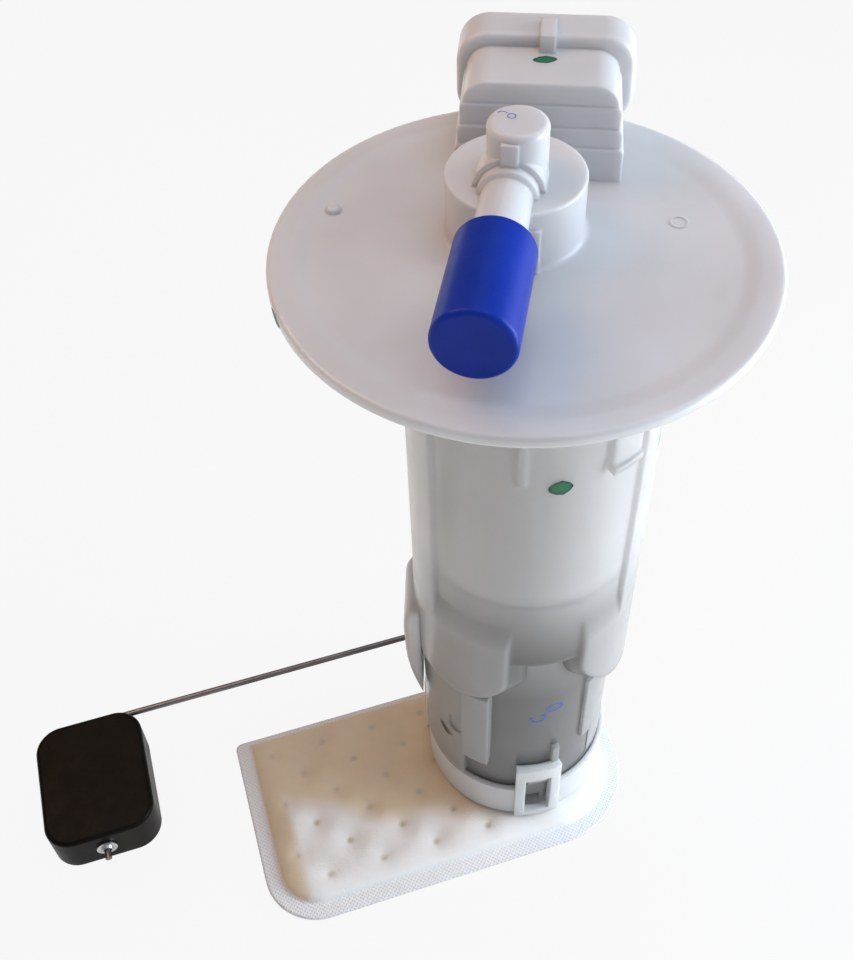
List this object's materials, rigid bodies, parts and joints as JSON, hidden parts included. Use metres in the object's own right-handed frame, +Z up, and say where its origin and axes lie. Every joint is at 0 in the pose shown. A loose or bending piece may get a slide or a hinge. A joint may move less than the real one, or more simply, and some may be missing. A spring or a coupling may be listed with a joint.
{
  "type": "fuel pump module",
  "caption": "In-tank fuel pump module with round flange, electrical socket, capped outlet, cylindrical filter housing, pump, level sender with float and woven strainer bag.",
  "frame": {"origin": "flange axis at the flange's seat on the tank, top of the locating spigot", "axes": "+Z up out of the tank along the flange axis, +Y towards the electrical socket's mouth, -Y along the fuel outlet"},
  "size_m": [0.2221, 0.1331, 0.2636],
  "materials": {
    "milky_plastic": "translucent white, satin moulded",
    "cap_blue": "matte moulded",
    "terminal": "tin-dulled stamped",
    "filter_paper": "matte fibrous",
    "black_plastic": "satin moulded",
    "black_rubber": "matte",
    "zinc_steel": "zinc plated",
    "steel": "drawn wire and turned steel",
    "spring_steel": "bright wire",
    "copper": "enamelled",
    "carbon": "matte pressed",
    "magnet": "matte sintered",
    "mesh_fabric": "woven polyamide, heat sealed edge",
    "float_rubber": "closed cell, satin",
    "ceramic": "glazed ceramic with printed track"
  },
  "bodies": {
    "module": {"flange": "milky_plastic", "upper_housing": "milky_plastic", "lower_shell": "milky_plastic", "bottom_cup": "milky_plastic", "filter_cover": "milky_plastic", "strainer_frame": "milky_plastic", "sender_body": "milky_plastic", "power_terminals": "terminal", "sender_terminals": "terminal", "filter_core": "black_plastic", "filter_element": "filter_paper", "filter_top_cap": "black_plastic", "filter_bottom_cap": "black_plastic", "outlet_o_ring": "black_rubber", "regulator_body": "zinc_steel", "regulator_diaphragm": "black_rubber", "regulator_cap": "zinc_steel", "regulator_spring": "spring_steel", "regulator_o_ring": "black_rubber", "pump_can": "zinc_steel", "pump_outlet_cover": "black_plastic", "pump_outlet_seal": "black_rubber", "pump_chamber_plate": "black_plastic", "pump_inlet_cover": "black_plastic", "check_valve_retainer": "black_plastic", "check_valve_spring": "spring_steel", "carbon_brushes": "carbon", "magnets": "magnet", "top_bush": "carbon", "bottom_bush": "carbon", "pump_cushion": "black_rubber", "pump_collar": "black_rubber", "suction_sock": "mesh_fabric", "resistor_card": "ceramic"},
    "cap": {"outlet_cap": "cap_blue"},
    "rotor": {"pump_shaft": "steel", "armature_core": "steel", "armature_windings": "copper", "commutator": "copper", "impeller": "black_plastic"},
    "check_valve": {"check_valve_poppet": "black_plastic"},
    "relief_valve": {"regulator_valve": "steel"},
    "arm": {"float_arm": "steel", "wiper_hub": "milky_plastic", "wiper_contact": "terminal", "push_nut": "zinc_steel"},
    "float": {"float_body": "float_rubber", "float_end_cap": "float_rubber"}
  },
  "joints": [
    {"name": "cap_pull", "type": "slide", "parent": "module", "child": "cap", "axis": [-0.0872, -0.9962, 0], "range_m": [0, 0.035]},
    {"name": "rotor_spin", "type": "hinge", "parent": "module", "child": "rotor", "pos_m": [0.004, 0, -0.16], "axis": [0, 0, 1], "continuous": true},
    {"name": "check_valve_lift", "type": "slide", "parent": "module", "child": "check_valve", "axis": [0, 0, 1], "range_m": [0, 0.0025], "stiffness_N_per_m": 40, "springref_m": -0.002, "deforming": ["check_valve_spring"]},
    {"name": "relief_lift", "type": "slide", "parent": "module", "child": "relief_valve", "axis": [0, 0, 1], "range_m": [0, 0.0012], "stiffness_N_per_m": 200, "springref_m": -0.003, "deforming": ["regulator_spring"]},
    {"name": "float_lift", "type": "hinge", "parent": "module", "child": "arm", "pos_m": [-0.01075, 0.03668, -0.202], "axis": [-0.3827, 0.9239, 0], "range_deg": [0, 64]},
    {"name": "float_swivel", "type": "hinge", "parent": "arm", "child": "float", "pos_m": [-0.13915, -0.0414, -0.206], "axis": [-0.3827, 0.9239, 0], "continuous": true}
  ]
}
